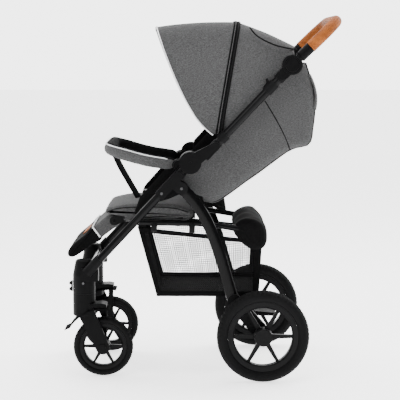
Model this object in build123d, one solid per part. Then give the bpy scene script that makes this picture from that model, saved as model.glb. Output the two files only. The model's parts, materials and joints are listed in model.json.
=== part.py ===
from build123d import *
import math
import os

# Four-wheeled jogging stroller. Millimetres, +Z up, the child faces -X, -Y is the child's left.
# Shapes are drawn with X measured from the rear axle, and are moved by REAR_AXLE_X on export,
# so that the origin lies on the floor under the middle of the whole stroller.

# ---- driving dimensions ----
REAR_AXLE_X = 183.5
REAR_R, REAR_TYRE_W, REAR_Y = 140.0, 46.0, 267.0
FRONT_R, FRONT_TYRE_W, FRONT_Y = 92.0, 36.0, 180.0
FRONT_X, TRAIL = -488.0, 58.0
SWIVEL_X = FRONT_X - TRAIL
AXLE_R, RUNNING = 6.0, 0.05
GAP = 0.3

TUBE_Y, TUBE_R, TUBE_WALL = 215.0, 12.5, 1.6
FOLD_PIVOT = (-220.0, 662.0)
LEG_PIVOT = (-245.6, 584.7)
LOWER_ANGLE = 47.0
UPPER_ANGLE = 46.5
HANDLE_PIVOT = (86.0, 955.0)
HANDLE_TOP = (222.0, 1086.0)
CANOPY_PIVOT = (-140.0, 757.0)
RECLINE_PIVOT = (-186.0, 516.0)
BACK_ANGLE = 35.3
LEGREST_PIVOT = (-453.0, 479.0)
LEGREST_ANGLE = 217.0
BUMPER_PIVOT = (-256.0, 652.0)
BEAM = (-30.0, 170.0)
SIDES = {"left": -1, "right": 1}


# ---- small helpers: a side profile is drawn in X and Z ----
def polar(origin, angle, along, up=0.0):
    """The point that lies along a direction in the side view, and up to its left."""
    c, s = math.cos(math.radians(angle)), math.sin(math.radians(angle))
    return (origin[0] + along * c - up * s, origin[1] + along * s + up * c)


def slab(profile, y_a, y_b):
    """A side profile given thickness between two Y values."""
    low, high = min(y_a, y_b), max(y_a, y_b)
    plane = Plane(origin=(0, high, 0), x_dir=(1, 0, 0), z_dir=(0, -1, 0))
    return extrude(plane * profile, high - low)


def polygon(*points, radius=0.0):
    face = make_face(Polyline(*points, close=True))
    return fillet(face.vertices(), radius) if radius else face


def dot(centre, radius):
    return Pos(*centre) * Circle(radius)


def link(a, radius_a, b, radius_b):
    """The outline of a strap round two circles."""
    return make_hull(dot(a, radius_a).edges() + dot(b, radius_b).edges())


def disc(centre, radius, y_a, y_b):
    return slab(dot(centre, radius), y_a, y_b)


def rod(a, b, radius):
    """A round bar between two points in space."""
    start, end = Vector(*a), Vector(*b)
    plane = Plane(origin=start, z_dir=end - start)
    return extrude(plane * Circle(radius), (end - start).length)


def pipe(path, radius, wall=0.0):
    section = Circle(radius) - Circle(radius - wall) if wall else Circle(radius)
    return sweep((path ^ 0) * section, path=path)


def at(point, y):
    return (point[0], y, point[1])


def both(make):
    """The same piece on each side, as separate solids of one node."""
    return Compound(children=[solid for side in SIDES.values() for solid in make(side).solids()])


# ---- wheels, turning about Y ----
def tyre(radius, width, rim_r):
    depth = 0.56 * (radius - rim_r)
    section = Pos(radius - depth, 0) * Ellipse(depth, width / 2)
    section -= Pos(rim_r - radius / 2, 0) * Rectangle(radius, 2 * width)
    return revolve(section, axis=Axis.Y)


def rim(rim_r, opening_r, half_width, hub_r, hub_half, bore_r, spoke, thickness):
    """A one-piece rim: a dished ring, six tapered spokes with wide roots, and a hub barrel."""
    root, tip = spoke
    lip = 4.0
    ring = make_face(
        Polyline(
            (opening_r, -half_width + lip),
            (opening_r + lip, -half_width),
            (rim_r, -half_width),
            (rim_r, half_width),
            (opening_r + lip, half_width),
            (opening_r, half_width - lip),
            close=True,
        )
    )
    spider = Circle(hub_r)
    for k in range(6):
        arm = Polyline(
            (hub_r * 0.5, -root), (opening_r + lip, -tip), (opening_r + lip, tip), (hub_r * 0.5, root), close=True
        )
        spider += Rot(0, 0, 60 * k) * make_face(arm)
    inner = [v for v in spider.vertices() if v.center().length < 0.6 * opening_r]
    spider = fillet(inner, root * 0.9)
    solid = revolve(ring, axis=Axis.Y) + slab(spider, -thickness, thickness)
    solid += disc((0, 0), hub_r * 0.94, -hub_half, hub_half)
    return solid - disc((0, 0), bore_r, -hub_half - 1, hub_half + 1)


def bearing(bore_r, outer_r, y_a, y_b):
    return disc((0, 0), outer_r, y_a, y_b) - disc((0, 0), bore_r, y_a - 1, y_b + 1)


REAR_HUB_HALF, REAR_BORE, BRAKE_HOLE_PCR, BRAKE_PIN_R = 23.0, 13.0, 19.0, 3.2
BRAKE_HOLES = 8


def rear_wheel(side):
    place = Pos(0, side * REAR_Y, REAR_R)
    wheel_rim = rim(106, 88, 16, 27, REAR_HUB_HALF, REAR_BORE, (7.5, 4.6), 6)
    for k in range(BRAKE_HOLES):
        hole = polar((0, 0), 90 + 360 / BRAKE_HOLES * k, BRAKE_HOLE_PCR)
        wheel_rim -= disc(hole, BRAKE_PIN_R + 0.8, -side * (REAR_HUB_HALF + 1), -side * (REAR_HUB_HALF - 9))
    cap = disc((0, 0), 27, side * REAR_HUB_HALF, side * (REAR_HUB_HALF + 4))
    cap = fillet(cap.edges().sort_by(Axis.Y)[-1 if side > 0 else 0], 2.5)
    races = [
        bearing(AXLE_R + RUNNING, REAR_BORE, y, y + 7) for y in (-REAR_HUB_HALF, REAR_HUB_HALF - 11)
    ]
    fittings = Compound(children=[cap.solids()[0]] + [r.solids()[0] for r in races])
    return (
        place * tyre(REAR_R, REAR_TYRE_W, 106),
        place * wheel_rim,
        place * fittings,
    )


FRONT_HUB_HALF = 20.0


def front_wheel(side):
    place = Pos(FRONT_X, side * FRONT_Y, FRONT_R)
    wheel_rim = rim(72, 58, 13, 22, FRONT_HUB_HALF, 11, (5.5, 3.4), 5)
    races = [bearing(AXLE_R + RUNNING, 11, y, y + 7) for y in (-FRONT_HUB_HALF, FRONT_HUB_HALF - 7)]
    whole = Compound(children=[wheel_rim.solids()[0]] + [r.solids()[0] for r in races])
    return place * tyre(FRONT_R, FRONT_TYRE_W, 72), place * whole


# ---- front forks, swivelling about a vertical axis ----
BARREL_R, SEAM_Z, CAP_Z, KINGPIN_R = 34.0, 258.0, 314.0, 10.0


def fork(side):
    def outer(a, b):
        return side * (FRONT_Y + a), side * (FRONT_Y + b)

    barrel_axis = Pos(SWIVEL_X, side * FRONT_Y, 0)
    hub = (FRONT_X, FRONT_R)
    body = barrel_axis * Pos(0, 0, 188) * Cylinder(
        BARREL_R, SEAM_Z - GAP - 188, align=(Align.CENTER, Align.CENTER, Align.MIN)
    )
    body = fillet(body.edges().sort_by(Axis.Z)[0], 6)
    body += slab(link((SWIVEL_X + 6, 205), 25, hub, 21), *outer(20.5, 30))
    crown = polygon((SWIVEL_X, 214.2), (-477, 214.2), (-477, 226), (-492, 229), (SWIVEL_X, 226))
    body += slab(crown, *outer(-28, 28))
    body += slab(polygon((-492, 222), (-477, 222), (-479, 92), (-496, 92)), *outer(-28, -20.5))
    body += disc(hub, 17, *outer(-28, -20.5))
    kingpin = barrel_axis * Pos(0, 0, SEAM_Z - 4) * Cylinder(
        KINGPIN_R, 44, align=(Align.CENTER, Align.CENTER, Align.MIN)
    )
    body += kingpin
    body -= disc(hub, AXLE_R, *outer(-29, 31))
    bolt = disc(hub, AXLE_R, *outer(-28, 30)) + disc(hub, 9.5, *outer(30, 34)) + disc(hub, 9.5, *outer(-32, -28))
    return body, bolt


def fender(side, body):
    """A mudguard blade round the front of the wheel, cut to fit the fork."""
    hub = (FRONT_X, FRONT_R)
    inner_r, outer_r, start, end = 118.0, 121.5, 80, 148
    tip = [(-604.0, 150.5), (-605.0, 147.5)]
    path = [polar(hub, start, outer_r), polar(hub, (start + end) / 2, outer_r), polar(hub, end, outer_r)]
    back = [polar(hub, end, inner_r), polar(hub, (start + end) / 2, inner_r), polar(hub, start, inner_r)]
    outline = ThreePointArc(*path) + Polyline(path[-1], *tip, back[0]) + ThreePointArc(*back)
    outline += Line(back[-1], path[0])
    blade = slab(make_face(outline), side * (FRONT_Y - 37), side * (FRONT_Y + 37))
    return (blade - body).solids().sort_by(SortBy.VOLUME)[-1]


def swivel_lock(side):
    """A small lever with two finger ribs on the front of the housing."""
    face_x = SWIVEL_X - BARREL_R - GAP
    plate = Pos(face_x - 3, side * FRONT_Y, 280) * Box(4, 15, 32)
    ribs = [Pos(face_x - 6.5, side * FRONT_Y, z) * Cylinder(4.5, 15, rotation=(90, 0, 0)) for z in (271, 289)]
    return plate + ribs


# ---- lower frame, fixed ----
def lower_point(along, up=0.0):
    return polar(FOLD_PIVOT, LOWER_ANGLE, along, up)


LOWER_START, LOWER_END = -456.0, -16.0


def lower_tube(side):
    y = side * TUBE_Y
    bar = rod(at(lower_point(LOWER_START), y), at(lower_point(LOWER_END), y), TUBE_R)
    bore = rod(at(lower_point(LOWER_START - 1), y), at(lower_point(LOWER_END + 1), y), TUBE_R - TUBE_WALL)
    return bar - bore


def front_housing(side):
    """The leg end: a king-pin barrel under a sloping cap, with a socket for the lower tube."""
    y = side * FRONT_Y
    align = (Align.CENTER, Align.CENTER, Align.MIN)
    body = Pos(SWIVEL_X, y, SEAM_Z) * Cylinder(BARREL_R, CAP_Z - SEAM_Z, align=align)
    cap = Pos(SWIVEL_X, y, CAP_Z) * Cone(BARREL_R, 25, 48, align=align)
    body += fillet(cap.edges().sort_by(Axis.Z)[-1], 9)
    low, high = lower_point(LOWER_START - 6), lower_point(LOWER_START + 52)
    body += rod(at(low, side * TUBE_Y), at(high, side * TUBE_Y), 16)
    body += Pos(SWIVEL_X + 20, side * 198, 318) * Box(52, 36, 40)
    body -= rod(at(lower_point(LOWER_START), side * TUBE_Y), at(lower_point(0), side * TUBE_Y), TUBE_R)
    body -= Pos(SWIVEL_X, y, SEAM_Z - 1) * Cylinder(KINGPIN_R + RUNNING, 43, align=align)
    return body


def hinge_outline(start, end):
    """The side outline of the hinge housing: a sleeve along the lower tube, and a lobe over the leg pivot."""
    sleeve = [(start, 15), (end - 12, 15), (end, 5), (end, -16), (start, -16)]
    lobe = link(lower_point(-80, 0), 15.5, LEG_PIVOT, 19)
    return polygon(*[lower_point(a, u) for a, u in sleeve], radius=5) + lobe


HINGE_IN, HINGE_MID, HINGE_COVER, HINGE_OUT = 200.0, 218.5, 238.0, 244.0
KNUCKLE_IN = 232.0


def hinge_housing(side):
    """Holds the fold pivot and the rear leg's pivot: an inner block, a sleeve on the tube and an outer cover."""
    inner = slab(hinge_outline(-140, -20), side * HINGE_IN, side * HINGE_MID)
    inner += disc(FOLD_PIVOT, 34, side * HINGE_IN, side * (KNUCKLE_IN - GAP))
    sleeve = polygon(*[lower_point(a, u) for a, u in [(-140, 15), (-50, 15), (-38, 8), (-38, -14), (-140, -14)]])
    body = inner + slab(sleeve, side * HINGE_MID, side * HINGE_COVER)
    body += slab(hinge_outline(-140, -38), side * HINGE_COVER, side * HINGE_OUT)
    tube_hole = rod(at(lower_point(LOWER_START), side * TUBE_Y), at(lower_point(LOWER_END), side * TUBE_Y), TUBE_R)
    body -= tube_hole
    body -= disc(FOLD_PIVOT, 6 + RUNNING, side * (HINGE_IN - 1), side * KNUCKLE_IN)
    socket = disc(BUMPER_PIVOT, 18.5, side * 188, side * HINGE_IN)
    return body + (socket - disc(BUMPER_PIVOT, 15 + GAP, side * 187, side * HINGE_IN))


RAIL_Y, RAIL_R = 190.0, 9.0


def seat_rail():
    """One U tube: the seat's side rails, running back into the hoop that holds the basket."""
    path = FilletPolyline(
        (-402, -RAIL_Y, 477), (-170, -RAIL_Y, 473), (-4, -RAIL_Y, 446),
        (-4, RAIL_Y, 446), (-170, RAIL_Y, 473), (-402, RAIL_Y, 477),
        radius=[250, 70, 70, 250],
    )
    return pipe(path, RAIL_R, 1.4)


def front_crossbar():
    return rod((-524, -157, 340), (-524, 157, 340), 8) - both_sockets()


def both_sockets():
    return front_housing(-1) + front_housing(1)


SEAT_HALF = 175.0


def seat_board():
    board = slab(polygon((-432, 486), (-242, 486), (-242, 494), (-432, 494)), -SEAT_HALF, SEAT_HALF)
    for side in SIDES.values():
        board += slab(link(LEGREST_PIVOT, 14, (-405, 489), 5), side * 162, side * 172)
        board -= disc(LEGREST_PIVOT, 5 + RUNNING, side * 161, side * 173)
    return board


def seat_cushion():
    profile = polygon(
        (-440, 494.3), (-442, 506), (-462, 512), (-440, 534), (-405, 543), (-240, 536), (-238, 494.3)
    )
    return slab(profile, -SEAT_HALF, SEAT_HALF)


BASKET_HALF, CLOTH = 183.0, 2.0
BASKET_TOP_F, BASKET_LOW_F = (-380.0, 462.0), (-322.0, 247.0)
BASKET_LOW_R, BASKET_TOP_R = (-10.0, 247.0), (-1.0, 378.0)


def basket():
    """Five thin panels that meet edge to edge."""
    corners = (BASKET_TOP_F, BASKET_LOW_F, BASKET_LOW_R, BASKET_TOP_R, (-86, 444))
    panels = [
        slab(polygon(*corners), side * BASKET_HALF, side * (BASKET_HALF + CLOTH)) for side in SIDES.values()
    ]
    walls = [
        [BASKET_TOP_F, BASKET_LOW_F, (-319.5, 249), (-377.5, 462)],
        [BASKET_LOW_F, BASKET_LOW_R, (-12.4, 249), (-319.5, 249)],
        [BASKET_LOW_R, BASKET_TOP_R, (-3.4, 378), (-12.4, 249)],
    ]
    panels += [slab(polygon(*wall), -BASKET_HALF, BASKET_HALF) for wall in walls]
    return Compound(children=[p.solids()[0] for p in panels])


def pouch():
    """The cloth cover over the basket's rear hoop, open below and in front."""
    outline = polygon(
        (-78, 470), (-60, 487), (-20, 484), (14, 452), (18, 424), (2, 388), (-40, 386), (-66, 410), radius=10
    )
    inner = polygon((-90, 466), (-58, 483), (-22, 480), (10, 450), (14.5, 425), (-2, 382), (-44, 370), (-90, 410))
    return slab(outline, -204, 204) - slab(inner, -201, 201)


def frame_bolts():
    """Screw heads on the fixed frame."""
    heads = []
    for side in SIDES.values():
        heads.append(disc(lower_point(-126, 0), 4, side * HINGE_OUT, side * (HINGE_OUT + 2)))
        heads.append(disc(LEG_PIVOT, 4, side * HINGE_OUT, side * (HINGE_OUT + 2)))
        heads.append(rod((SWIVEL_X, side * 214.1, 292), (SWIVEL_X, side * 216, 292), 3.5))
    return Compound(children=[h.solids()[0] for h in heads])


BUCKLE_X, CUSHION_TOP = -345.0, 541.3


def buckle():
    body = Pos(BUCKLE_X, 0, CUSHION_TOP + 9) * Box(52, 44, 16)
    body = fillet(body.edges().filter_by(Axis.Z), 9)
    return body - Pos(BUCKLE_X, 0, CUSHION_TOP + 17) * Cylinder(11, 10)


def buckle_button():
    return Pos(BUCKLE_X, 0, CUSHION_TOP + 17) * Cylinder(11 - GAP, 5)


def waist_straps():
    def strap(side):
        low, high = CUSHION_TOP + 4, CUSHION_TOP + 6
        profile = polygon((-362, low), (-332, low), (-332, high), (-362, high))
        return slab(profile, side * 22, side * 150)

    return both(strap)


# ---- rear frame ----
def rear_leg(side):
    """A flat oval tube, bowed backwards, on the leg pivot."""
    path = Spline(at(LEG_PIVOT, 0), (-170, 0, 485), (-121, 0, 351), (-87, 0, 238))
    plane = Plane(origin=path @ 0, x_dir=(0, 1, 0), z_dir=path % 0)
    leg = sweep(plane * Ellipse(9, 18), path=path)
    leg += disc(LEG_PIVOT, 18, -9, 9)
    leg -= disc(LEG_PIVOT, 5, -10, 10)
    return Pos(0, side * 228, 0) * leg


def leg_pin(side):
    return disc(LEG_PIVOT, 5, side * 219.5, side * 236.5)


def rear_bracket(side, leg):
    arm = slab(link((-86, 242), 21, (0, REAR_R), 25), side * 218, side * 241)
    arm -= leg
    arm -= slab(link((-86, 242), 10, (-110, 320), 10), side * 221, side * 235)
    arm -= disc((0, REAR_R), AXLE_R, side * 217, side * 242)
    pin_hole = (0, REAR_R + BRAKE_HOLE_PCR)
    return (arm - disc(pin_hole, BRAKE_PIN_R + RUNNING, side * 217, side * 242)).solids().sort_by(SortBy.VOLUME)[-1]


def rear_axle_pin(side):
    return disc((0, REAR_R), AXLE_R, side * 218, side * 284)


def axle_beam():
    return rod((BEAM[0], -218, BEAM[1]), (BEAM[0], 218, BEAM[1]), 11) - rod(
        (BEAM[0], -219, BEAM[1]), (BEAM[0], 219, BEAM[1]), 9.4
    )


def brake_pedal():
    sleeve = disc(BEAM, 16, -62, 62) - disc(BEAM, 11 + GAP, -63, 63)
    plate = slab(polygon((-18, 176), (46, 170), (52, 162), (40, 160), (-16, 162)), -46, 46)
    return (sleeve + plate) - disc(BEAM, 11 + GAP, -63, 63)


def brake_pin(side):
    return disc((0, REAR_R + BRAKE_HOLE_PCR), BRAKE_PIN_R, side * 212, side * 242.5)


# ---- upper frame ----
def upper_point(along, up=0.0):
    """A point counted down the upper tube from the handle joint."""
    return polar(HANDLE_PIVOT, UPPER_ANGLE, -along, up)


UPPER_START, UPPER_END = 382.0, 33.0


def upper_tube(side):
    y = side * TUBE_Y
    bar = rod(at(upper_point(UPPER_START), y), at(upper_point(UPPER_END), y), TUBE_R)
    return bar - rod(at(upper_point(UPPER_START + 1), y), at(upper_point(UPPER_END - 1), y), TUBE_R - TUBE_WALL)


RECLINE_ARM_IN, RECLINE_ARM_OUT, BACK_HALF = 180.5, 186.0, 150.0


def hinge_knuckle(side):
    """The upper tube's foot: an outer disc on the fold pin, and an inner arm that carries the backrest."""
    y = side * TUBE_Y
    body = disc(FOLD_PIVOT, 33, side * KNUCKLE_IN, side * HINGE_OUT)
    foot, mid = upper_point(UPPER_START - 8), upper_point(UPPER_START - 48)
    body += slab(link(FOLD_PIVOT, 22, mid, 12), side * KNUCKLE_IN, side * HINGE_OUT)
    body += rod(at(upper_point(UPPER_START), y), at(upper_point(UPPER_START - 62), y), 15)
    body += slab(link(foot, 12, mid, 12), side * TUBE_Y, side * (KNUCKLE_IN + 1))
    body -= disc(FOLD_PIVOT, 36, side * (TUBE_Y - 30), side * (KNUCKLE_IN))
    body -= rod(at(upper_point(UPPER_START), y), at(upper_point(UPPER_END), y), TUBE_R)
    body += disc(FOLD_PIVOT, 6, side * RECLINE_ARM_IN, side * (KNUCKLE_IN + 1))
    body += slab(link(FOLD_PIVOT, 12, RECLINE_PIVOT, 12), side * RECLINE_ARM_IN, side * RECLINE_ARM_OUT)
    body += disc(RECLINE_PIVOT, 5, side * (BACK_HALF + 0.5), side * (RECLINE_ARM_IN + 1))
    body += disc(FOLD_PIVOT, 5, side * HINGE_OUT, side * (HINGE_OUT + 1.5))
    return body


KNOB_R, BUTTON_R = 30.0, 21.0
JOINT_IN, JOINT_MID_IN, JOINT_MID_OUT, JOINT_OUT = 199.5, 206.0, 223.0, 235.0


def handle_knuckle(side):
    """The fixed half of the handle joint: two cheeks, a tube sleeve and the button's well."""
    y = side * TUBE_Y
    body = slab(link(HANDLE_PIVOT, KNOB_R, upper_point(44), 13), side * JOINT_IN, side * JOINT_OUT)
    body = body & (disc(HANDLE_PIVOT, KNOB_R, side * JOINT_IN, side * JOINT_OUT) + slab(
        link(upper_point(20), 16.5, upper_point(50), 16.5), side * (TUBE_Y - 17), side * (TUBE_Y + 17)))
    body += rod(at(upper_point(30), y), at(upper_point(62), y), 16.5)
    body -= disc(HANDLE_PIVOT, KNOB_R + 0.8, side * JOINT_MID_IN, side * JOINT_MID_OUT)
    body -= rod(at(upper_point(UPPER_END), y), at(upper_point(70), y), TUBE_R)
    body -= disc(HANDLE_PIVOT, BUTTON_R + GAP, side * (JOINT_MID_OUT + 2), side * (JOINT_OUT + 1))
    body -= disc(HANDLE_PIVOT, 5, side * (JOINT_IN - 1), side * (JOINT_OUT + 1))
    return body.solids().sort_by(SortBy.VOLUME)[-1]


def fold_slider(side):
    """A release sleeve on the upper tube, with a finger hook."""
    y = side * TUBE_Y
    low, high = upper_point(112), upper_point(76)
    body = rod(at(low, y), at(high, y), 16)
    hook_corners = [(108, 14), (84, 14), (80, 27), (86, 29), (92, 20), (108, 18)]
    hook = polygon(*[upper_point(a, u) for a, u in hook_corners])
    body += slab(hook, y - 5, y + 5)
    return body - rod(at(upper_point(120), y), at(upper_point(70), y), TUBE_R + GAP)


CLIP_IN, CLIP_OUT = 198.6, 202.3
CLIP_REACH = (HANDLE_PIVOT[0] - CANOPY_PIVOT[0], HANDLE_PIVOT[1] - CANOPY_PIVOT[1])
CLIP_FOOT = upper_point(
    CLIP_REACH[0] * math.cos(math.radians(UPPER_ANGLE)) + CLIP_REACH[1] * math.sin(math.radians(UPPER_ANGLE))
)


def canopy_clip(side):
    y = side * TUBE_Y
    body = slab(link(CANOPY_PIVOT, 12, CLIP_FOOT, 12), side * CLIP_IN, side * CLIP_OUT)
    ends = [at(polar(CLIP_FOOT, UPPER_ANGLE, a), y) for a in (-12, 12)]
    body += rod(*ends, 16)
    ends = [at(polar(CLIP_FOOT, UPPER_ANGLE, a), y) for a in (-13, 13)]
    body -= rod(*ends, TUBE_R)
    return body - disc(CANOPY_PIVOT, 3 + RUNNING, side * (CLIP_IN - 1), side * (CLIP_OUT + 1))


# ---- handle ----
HANDLE_ANGLE = math.degrees(
    math.atan2(HANDLE_TOP[1] - HANDLE_PIVOT[1], HANDLE_TOP[0] - HANDLE_PIVOT[0])
)
GRIP_R, GRIP_START, HANDLE_TUBE_R = 16.0, 76.0, 12.0


def handle_path(start):
    foot = polar(HANDLE_PIVOT, HANDLE_ANGLE, start)
    return FilletPolyline(
        at(foot, -TUBE_Y), at(HANDLE_TOP, -TUBE_Y), at(HANDLE_TOP, TUBE_Y), at(foot, TUBE_Y), radius=78
    )


def handle_bar():
    """The bent tube and, on each end, the turning half of the joint."""
    pieces = [pipe(handle_path(KNOB_R + 2), HANDLE_TUBE_R, 1.5)]
    for side in SIDES.values():
        y = side * TUBE_Y
        half = disc(HANDLE_PIVOT, KNOB_R - 0.5, side * (JOINT_MID_IN + GAP), side * (JOINT_MID_OUT - GAP))
        half += disc(HANDLE_PIVOT, 5 - RUNNING, side * (JOINT_IN + 1), side * (JOINT_MID_OUT + 1.5))
        foot, end = polar(HANDLE_PIVOT, HANDLE_ANGLE, KNOB_R + 1), polar(HANDLE_PIVOT, HANDLE_ANGLE, GRIP_START)
        half += rod(at(foot, y), at(end, y), 14.5)
        half += slab(link(polar(HANDLE_PIVOT, HANDLE_ANGLE, 15), 12, foot, 12), y - 8, y + 7)
        half -= rod(at(polar(HANDLE_PIVOT, HANDLE_ANGLE, KNOB_R + 2), y), at(end, y), HANDLE_TUBE_R)
        pieces.append(half)
    return Compound(children=[p.solids()[0] for p in pieces])


def handle_grip():
    path = handle_path(GRIP_START)
    return sweep((path ^ 0) * (Circle(GRIP_R) - Circle(HANDLE_TUBE_R)), path=path)


def handle_button(side):
    button = disc(HANDLE_PIVOT, BUTTON_R, side * (JOINT_OUT - 4), side * (JOINT_OUT + 3))
    return fillet(button.edges().sort_by(Axis.Y)[-1 if side > 0 else 0], 2.5)


# ---- canopy ----
MID_ANGLE, MID_REACH = 79.0, 330.0
FRONT_ANGLE, FRONT_REACH = 121.0, 356.0
BOW_T, BOW_W, BOW_CORNER = 4.0, 8.0, 76.0
MID_BOW_OUT, FRONT_BOW_OUT = 196.0, 191.5


def bow(angle, reach, outer):
    """A flat U-shaped rib on the canopy pivots."""
    def loop(half, top, corner):
        left = Line((-half, 0), (-half, top - corner))
        right = Line((half, top - corner), (half, 0))
        curve = RadiusArc((-half, top - corner), (-half + corner, top), corner)
        other = RadiusArc((half - corner, top), (half, top - corner), corner)
        across, foot = Line((-half + corner, top), (half - corner, top)), Line((half, 0), (-half, 0))
        return make_face(left + curve + across + other + right + foot)

    band = loop(outer, reach, BOW_CORNER) - loop(outer - BOW_T, reach - BOW_T, BOW_CORNER - BOW_T)
    direction = Vector(math.cos(math.radians(angle)), 0, math.sin(math.radians(angle)))
    normal = direction.cross(Vector(0, 1, 0))
    plane = Plane(origin=at(CANOPY_PIVOT, 0), x_dir=(0, 1, 0), z_dir=normal * -1)
    rib = extrude(plane * band, BOW_W / 2, both=True)
    for side in SIDES.values():
        rib += disc(CANOPY_PIVOT, 8, side * (outer - BOW_T), side * outer)
        rib -= disc(CANOPY_PIVOT, 4 + RUNNING, side * (outer - BOW_T - 1), side * (outer + 1))
    return rib


def canopy_hub(side):
    """The pivot stud that both ribs turn on."""
    stud = disc(CANOPY_PIVOT, 12, side * (MID_BOW_OUT + GAP), side * (CLIP_IN - GAP))
    stud += disc(CANOPY_PIVOT, 4, side * 187, side * (MID_BOW_OUT + GAP))
    return stud + disc(CANOPY_PIVOT, 3, side * (CLIP_IN - GAP), side * CLIP_OUT)


FABRIC_OUT, FABRIC_IN = 198.4, 196.4


def hood(outer, inner, corner):
    """A thin hood: a prism with sloped shoulders, less a smaller one that leaves it open."""
    def block(points, half, cut):
        solid = slab(polygon(*points), -half, half)
        sides = [e for e in solid.edges() if abs(abs(e.center().Y) - half) < 0.1]
        return chamfer([e for e in sides if min(v.center().Z for v in e.vertices()) > 1000], cut)

    return block(outer, FABRIC_OUT, corner) - block(inner, FABRIC_IN, corner - 1.2)


def canopy_front():
    front_tip, mid_tip = polar(CANOPY_PIVOT, FRONT_ANGLE, 364), polar(CANOPY_PIVOT, MID_ANGLE, 336)
    root_a, root_b = polar(CANOPY_PIVOT, FRONT_ANGLE, 22), polar(CANOPY_PIVOT, MID_ANGLE + 4, 22)
    outer = [root_a, front_tip, polar(CANOPY_PIVOT, MID_ANGLE + 1, 336), root_b]
    inner = [
        polar(CANOPY_PIVOT, FRONT_ANGLE + 12, 20),
        polar(CANOPY_PIVOT, FRONT_ANGLE + 9, 372),
        (front_tip[0], front_tip[1] - 2.2),
        (mid_tip[0] - 5, mid_tip[1] - 2.2),
        polar(CANOPY_PIVOT, MID_ANGLE - 10, 326),
        polar(CANOPY_PIVOT, MID_ANGLE - 30, 20),
    ]
    return hood(outer, inner, 38)


def canopy_rear():
    """Two side panels and a top panel, from the middle rib back to the handle joints."""
    top = [polar(CANOPY_PIVOT, MID_ANGLE - 1, 336), (-40, 1070), (104, 1006)]
    under = [(104, 1003.6), (-40, 1067.6), polar(CANOPY_PIVOT, MID_ANGLE - 1, 333.5)]
    root = polar(CANOPY_PIVOT, MID_ANGLE - 2, 22)
    shell = slab(polygon(*top, *under), -FABRIC_OUT, FABRIC_OUT)
    side_outline = polygon(root, *top, upper_point(24, 42), upper_point(220, 18))
    for side in SIDES.values():
        shell += slab(side_outline, side * FABRIC_IN, side * FABRIC_OUT)
    return shell


# ---- backrest ----
BACK_FOOT = (-130.0, 540.0)
COVER_OUT, COVER_IN = 180.0, 178.0


def back_point(along, up):
    return polar(BACK_FOOT, BACK_ANGLE, along, up)


def backrest_board():
    corners = [(6, 8), (285, 8), (285, 18), (6, 18)]
    board = slab(polygon(*[back_point(a, u) for a, u in corners]), -BACK_HALF, BACK_HALF)
    for side in SIDES.values():
        board += slab(link(RECLINE_PIVOT, 11, back_point(60, 13), 5), side * BACK_HALF, side * (BACK_HALF + 6))
        board -= disc(RECLINE_PIVOT, 5 + RUNNING, side * (BACK_HALF - 12), side * (BACK_HALF + 8))
    return board


def backrest_cushion():
    corners = [(0, 18.3), (288, 18.3), (288, 44), (0, 44)]
    return slab(polygon(*[back_point(a, u) for a, u in corners]), -BACK_HALF, BACK_HALF)


def back_cover():
    """The cloth behind the child: two side gussets, the back panel and the curtain under the handle."""
    outer = [
        (-226, 586), (-205, 556), (-130, 540), (85, 692), (149, 713), (169, 812), (169, 852), (132, 958),
        upper_point(24, -30), upper_point(300, -16), (-214, 612),
    ]
    inner = [
        (-240, 535), (-131.5, 535), (-131.5, 542), (83.6, 694), (147, 715.5), (167, 812), (167, 851.5), (129.5, 960),
        (60, 1000), (-120, 800), (-300, 650),
    ]
    shell = slab(polygon(*outer), -COVER_OUT, COVER_OUT) - slab(polygon(*inner), -COVER_IN, COVER_IN)
    return shell


def shoulder_straps():
    def strap(side):
        corners = [(40, 44.3), (250, 44.3), (250, 47), (40, 47)]
        return slab(polygon(*[back_point(a, u) for a, u in corners]), side * 34, side * 62)

    return both(strap)


# ---- bumper bar, leg rest ----
BUMPER_Y = 172.0


def bumper_bar():
    """The padded U and, on each end, the adaptor that turns in the hinge housing."""
    path = FilletPolyline(
        (-262, -BUMPER_Y, 652), (-356, -BUMPER_Y, 665), (-470, -BUMPER_Y, 699),
        (-470, BUMPER_Y, 699), (-356, BUMPER_Y, 665), (-262, BUMPER_Y, 652),
        radius=[300, 95, 95, 300],
    )
    plane = Plane(origin=path @ 0, x_dir=(0, 1, 0), z_dir=path % 0)
    pieces = [sweep(plane * Ellipse(14, 17), path=path)]
    for side in SIDES.values():
        adaptor = disc(BUMPER_PIVOT, 15, side * 187, side * (HINGE_IN - GAP))
        pieces.append(adaptor + disc(BUMPER_PIVOT, 9, side * 160, side * 187.5) - pieces[0])
    return Compound(children=[max(p.solids(), key=lambda s: s.volume) for p in pieces])


def crotch_strap():
    profile = polygon((-462, 681), (-458.4, 681), (-385.6, 545), (-389, 545))
    return slab(profile, -13, 13)


def leg_rest():
    """A tapering panel hung on two pins."""
    tip = polar(LEGREST_PIVOT, LEGREST_ANGLE, 172)
    panel = slab(link(polar(LEGREST_PIVOT, LEGREST_ANGLE, 24), 9, tip, 6), -158, 158)
    for side in SIDES.values():
        panel += disc(LEGREST_PIVOT, 5, side * 150, side * 171)
        panel += slab(link(LEGREST_PIVOT, 9, polar(LEGREST_PIVOT, LEGREST_ANGLE, 30), 9), side * 148, side * 158)
    return panel


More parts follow.
